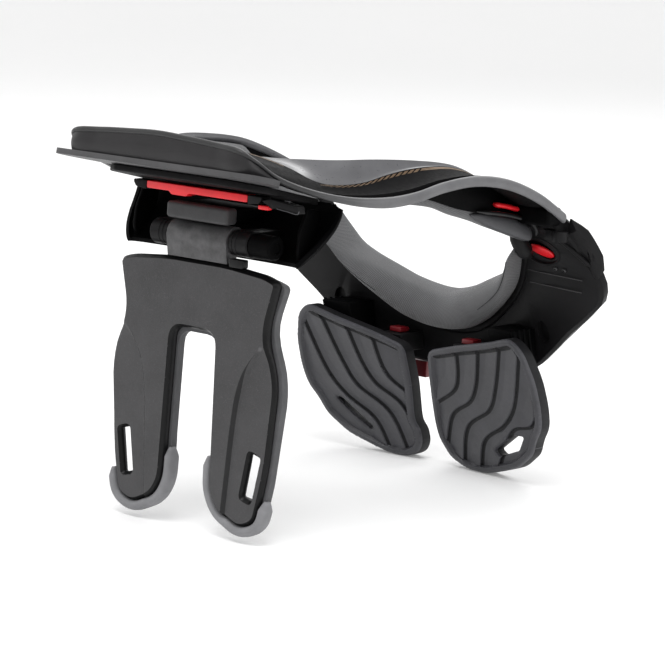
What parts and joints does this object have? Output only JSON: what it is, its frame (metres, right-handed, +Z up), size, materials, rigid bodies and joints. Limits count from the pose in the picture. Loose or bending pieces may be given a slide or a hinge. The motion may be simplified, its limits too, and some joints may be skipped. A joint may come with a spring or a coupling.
{
  "type": "motocross neck brace",
  "caption": "U-shaped neck brace with a sloping deck, padded neck opening, folding rear strut, swinging front half, side release levers and chest pads.",
  "frame": {"origin": "centre of the bounding box in plan, on the surface that the brace stands on", "axes": "+X to the wearer's right, +Y forward to the chest pads, +Z up"},
  "size_m": [0.2776, 0.3238, 0.2557],
  "materials": {
    "black_shell": "satin black moulding",
    "grey_shell": "smooth dark grey moulding",
    "grey_rubber": "soft grey edge bead",
    "mesh_fabric": "grey woven mesh over foam",
    "grey_foam": "moulded grey foam with a dull skin",
    "strut_black": "fine textured charcoal moulding",
    "red_plastic": "red moulding",
    "steel": "plain steel pin"
  },
  "bodies": {
    "rear_half": {"deck": "black_shell", "rim_bead": "grey_rubber", "collar": "grey_shell", "rear_pad": "mesh_fabric", "rear_wall": "black_shell", "rear_flange": "grey_shell", "slider_plate": "grey_shell", "lock_bar": "red_plastic", "lock_end_right": "grey_shell", "lock_end_left": "grey_shell", "shell": "black_shell", "hinge_lug_right": "black_shell", "hinge_lug_left": "black_shell", "hinge_pin": "steel", "angle_wedge": "grey_shell", "arm_block_right": "black_shell", "arm_block_left": "black_shell", "arm_tab_right": "red_plastic", "arm_tab_left": "red_plastic", "closure_pin": "steel"},
    "rear_strut": {"strut_hinge": "strut_black", "strut_plate": "strut_black", "strut_pad": "grey_foam"},
    "front_half": {"front_shell": "black_shell", "front_pad": "mesh_fabric", "chest_pad_right": "grey_foam", "chest_pad_left": "grey_foam", "outer_bracket_right": "black_shell", "outer_bracket_left": "black_shell", "inner_bracket_right": "black_shell", "inner_bracket_left": "black_shell", "top_clip_right": "red_plastic", "top_clip_left": "red_plastic", "lower_clip_right": "red_plastic", "lower_clip_left": "red_plastic"},
    "release_right": {"lever_right": "black_shell"},
    "release_left": {"lever_left": "black_shell"},
    "push_right": {"button_right": "red_plastic"},
    "push_left": {"button_left": "red_plastic"}
  },
  "joints": [
    {"name": "strut_fold", "type": "hinge", "parent": "rear_half", "child": "rear_strut", "pos_m": [0, -0.11099, 0.18553], "axis": [1, 0, 0], "range_deg": [0, 30]},
    {"name": "front_swing", "type": "hinge", "parent": "rear_half", "child": "front_half", "pos_m": [-0.1235, 0.0987, 0.18461], "axis": [0, 0.0339, 0.9994], "range_deg": [0, 50]},
    {"name": "lever_right_turn", "type": "hinge", "parent": "front_half", "child": "release_right", "pos_m": [0.13591, 0.12537, 0.15594], "axis": [0, 0.7425, 0.6699], "range_deg": [0, 35]},
    {"name": "lever_left_turn", "type": "hinge", "parent": "front_half", "child": "release_left", "pos_m": [-0.13591, 0.12537, 0.15594], "axis": [0, -0.7425, -0.6699], "range_deg": [0, 35]},
    {"name": "button_right_push", "type": "slide", "parent": "front_half", "child": "push_right", "axis": [0, 0.7631, 0.6462], "range_m": [0, 0.002], "stiffness_N_per_m": 400},
    {"name": "button_left_push", "type": "slide", "parent": "front_half", "child": "push_left", "axis": [0, 0.7631, 0.6462], "range_m": [0, 0.002], "stiffness_N_per_m": 400}
  ]
}
